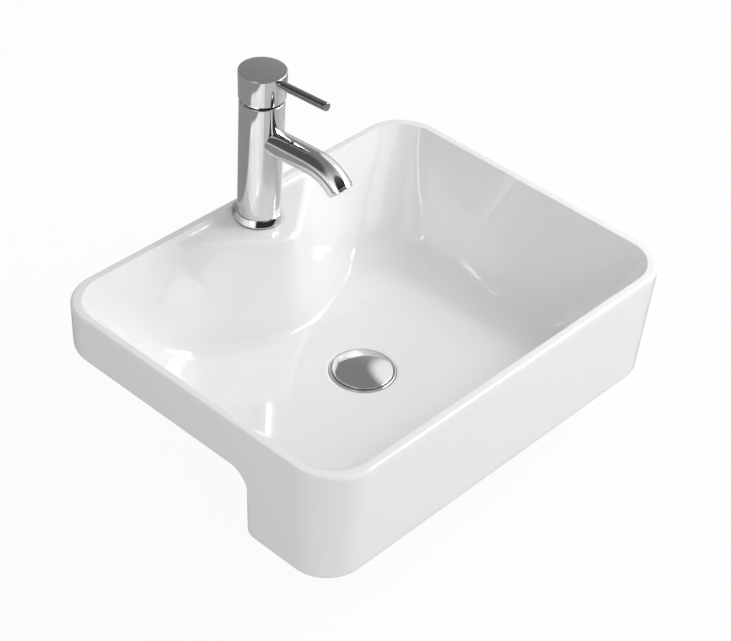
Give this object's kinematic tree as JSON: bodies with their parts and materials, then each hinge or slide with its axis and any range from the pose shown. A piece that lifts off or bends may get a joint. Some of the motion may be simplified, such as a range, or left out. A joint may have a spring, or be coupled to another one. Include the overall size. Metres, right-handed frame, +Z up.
{
  "type": "semi recessed basin",
  "caption": "Semi recessed wash basin with a tap ledge, a single lever pin mixer tap and a click plug waste.",
  "frame": {"origin": "where the axis of the waste crosses the face that rests on the worktop", "axes": "+Z up, +Y towards the wall, +X to the user's right; the user stands at -Y"},
  "size_m": [0.4808, 0.3658, 0.3537],
  "materials": {
    "glaze": "gloss white glaze",
    "chrome": "mirror chrome on brass",
    "seal_rubber": "matte",
    "cartridge_plastic": "matte",
    "grey_plastic": "satin",
    "disc_ceramic": "polished",
    "brass": "machined",
    "steel": "satin"
  },
  "bodies": {
    "basin_and_fittings": {"basin_rim": "glaze", "basin_bowl": "glaze", "basin_skirt": "glaze", "tap_body": "chrome", "tap_base_ring": "chrome", "cover_dome": "chrome", "aerator_housing": "chrome", "waste_body": "chrome", "waste_cross": "chrome", "tap_base_seal": "seal_rubber", "cartridge_seals": "seal_rubber", "aerator_seal": "seal_rubber", "horseshoe_washer": "seal_rubber", "waste_top_seal": "seal_rubber", "waste_under_seal": "seal_rubber", "cartridge_base": "cartridge_plastic", "cartridge_housing": "cartridge_plastic", "fixed_disc": "disc_ceramic", "cartridge_nut": "brass", "mounting_nut": "brass", "waste_back_nut": "brass", "mounting_stud": "steel", "horseshoe_plate": "steel", "click_spring": "steel", "aerator_insert": "cartridge_plastic", "waste_slip_washer": "grey_plastic", "click_housing": "grey_plastic"},
    "cartridge_turner": {"cartridge_carrier": "cartridge_plastic", "pivot_pin": "steel"},
    "lever": {"cartridge_spindle": "steel", "lever_hub": "chrome", "lever_pin": "chrome", "set_screw": "steel", "index_plug": "grey_plastic"},
    "disc": {"moving_disc": "disc_ceramic"},
    "plug": {"plug_cap": "chrome", "plug_seal": "seal_rubber", "click_stem": "grey_plastic"}
  },
  "joints": [
    {"name": "lever_turn", "type": "hinge", "parent": "basin_and_fittings", "child": "cartridge_turner", "pos_m": [0, 0.149, 0.176], "axis": [0, 0, 1], "range_deg": [-45, 45]},
    {"name": "lever_lift", "type": "hinge", "parent": "cartridge_turner", "child": "lever", "pos_m": [0, 0.149, 0.176], "axis": [-1, 0, 0], "range_deg": [0, 20]},
    {"name": "disc_slide", "type": "slide", "parent": "cartridge_turner", "child": "disc", "axis": [0, -1, 0], "range_m": [0, 0.005]},
    {"name": "plug_lift", "type": "slide", "parent": "basin_and_fittings", "child": "plug", "axis": [0, 0, 1], "range_m": [0, 0.009], "deforming": ["click_spring"]}
  ],
  "couplings": [
    {"joint": "disc_slide", "follows": "lever_lift", "m_per_rad": 0.0139}
  ]
}
